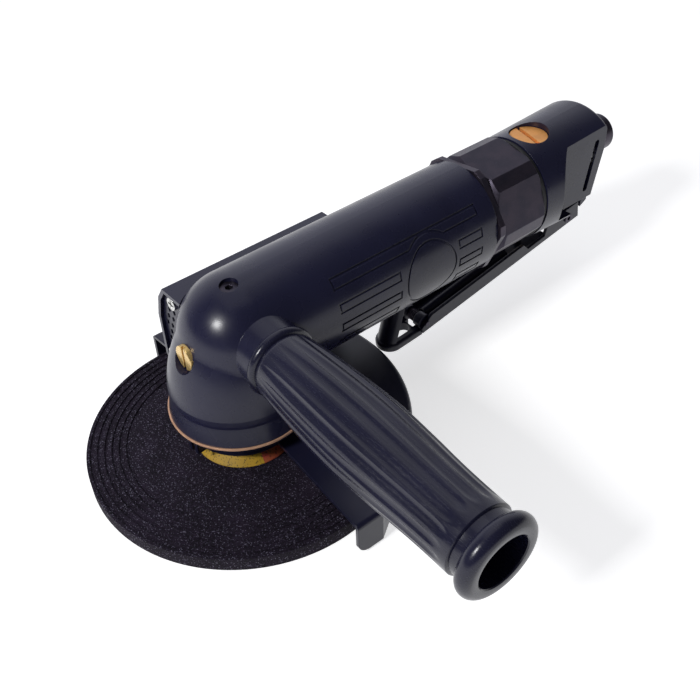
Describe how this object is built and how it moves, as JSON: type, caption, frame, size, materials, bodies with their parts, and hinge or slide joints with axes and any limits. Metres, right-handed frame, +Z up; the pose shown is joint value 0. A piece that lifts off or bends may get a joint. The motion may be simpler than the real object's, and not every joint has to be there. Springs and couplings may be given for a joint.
{
  "type": "pneumatic angle grinder",
  "caption": "Air-powered angle grinder with a round motor barrel, squeeze lever with safety latch, side grip, half guard and hub-mounted grinding wheel.",
  "frame": {"origin": "centre of the spindle's free end, below the wheel", "axes": "+Z up the spindle, +X back along the motor barrel to the air inlet, side grip towards -Y"},
  "size_m": [0.2655, 0.1986, 0.08],
  "materials": {
    "abrasive": "rough grain",
    "label_paper": "matt print",
    "bright_steel": "ground",
    "gear_steel": "machined",
    "dark_steel": "phosphated",
    "blue_paint": "satin",
    "guard_paint": "satin",
    "brass": "turned",
    "gold_plug": "plated",
    "copper": "soft sheet",
    "black_plastic": "moulded gloss",
    "rubber": "matt",
    "felt": "pressed felt",
    "vane_resin": "woven laminate",
    "aluminium": "turned",
    "zinc_screw": "zinc plated"
  },
  "bodies": {
    "housing": {"lower_spindle_bearing": "bright_steel", "upper_spindle_bearing": "bright_steel", "motor_housing": "blue_paint", "top_screw": "dark_steel", "front_plug": "brass", "head_gasket": "copper", "bearing_cap": "dark_steel", "spindle_seal": "felt", "pinion_bearing": "bright_steel", "rotor_front_bearing": "bright_steel", "rotor_rear_bearing": "bright_steel", "bearing_retainer": "dark_steel", "front_end_plate": "aluminium", "cylinder_liner": "bright_steel", "rear_end_plate": "aluminium", "motor_gasket": "rubber", "lock_plate": "dark_steel", "clamp_nut": "dark_steel", "seal_ring": "rubber", "throttle_body": "blue_paint", "valve_plug": "gold_plug", "valve_seat": "rubber", "stem_bush": "brass", "inlet_bush": "dark_steel", "inlet_screen": "brass", "lever_pin": "bright_steel", "side_grip": "black_plastic", "grip_bolt": "dark_steel", "grip_washer": "bright_steel", "exhaust_cover": "blue_paint", "exhaust_screen": "aluminium", "exhaust_screws": "zinc_screw"},
    "spindle": {"spindle": "bright_steel", "gear_key": "bright_steel", "driven_gear": "gear_steel", "inner_flange": "dark_steel", "flange_nut": "dark_steel", "grinding_wheel": "abrasive", "wheel_label": "label_paper"},
    "rotor": {"rotor": "gear_steel", "rotor_vanes": "vane_resin", "pinion_gear": "gear_steel"},
    "guard": {"wheel_guard": "guard_paint", "guard_clamp_screw": "dark_steel"},
    "lever": {"throttle_lever": "guard_paint", "latch_pin": "bright_steel"},
    "latch": {"lock_off_latch": "guard_paint", "latch_spring": "bright_steel"},
    "valve": {"valve_stem": "bright_steel", "valve_spring": "bright_steel"},
    "flow_ring": {"regulator_ring": "aluminium"}
  },
  "joints": [
    {"name": "spindle_spin", "type": "hinge", "parent": "housing", "child": "spindle", "pos_m": [0, 0, 0], "axis": [0, 0, 1], "continuous": true},
    {"name": "rotor_spin", "type": "hinge", "parent": "housing", "child": "rotor", "pos_m": [0.06, 0, 0.0554], "axis": [1, 0, 0], "continuous": true},
    {"name": "guard_turn", "type": "hinge", "parent": "housing", "child": "guard", "pos_m": [0, 0, 0.015], "axis": [0, 0, 1], "range_deg": [-60, 60]},
    {"name": "lever_squeeze", "type": "hinge", "parent": "housing", "child": "lever", "pos_m": [0.1784, 0, 0.0291], "axis": [0, 1, 0], "range_deg": [0, 7], "stiffness_Nm_per_rad": 2, "springref_deg": -8.59},
    {"name": "latch_swing", "type": "hinge", "parent": "lever", "child": "latch", "pos_m": [0.0908, 0, 0.0148], "axis": [0, -1, 0], "range_deg": [0, 49], "stiffness_Nm_per_rad": 0.02, "springref_deg": -17.19},
    {"name": "stem_lift", "type": "slide", "parent": "housing", "child": "valve", "axis": [0, 0, 1], "range_m": [0, 0.003], "stiffness_N_per_m": 500, "springref_m": -0.002, "deforming": ["valve_spring"]},
    {"name": "flow_ring_turn", "type": "hinge", "parent": "housing", "child": "flow_ring", "pos_m": [0.1802, 0, 0.0604], "axis": [1, 0, 0], "range_deg": [-60, 60]}
  ],
  "couplings": [
    {"joint": "rotor_spin", "follows": "spindle_spin", "ratio": 1.6667},
    {"joint": "latch_swing", "follows": "lever_squeeze", "ratio": 7},
    {"joint": "stem_lift", "follows": "lever_squeeze", "m_per_rad": 0.0244}
  ]
}
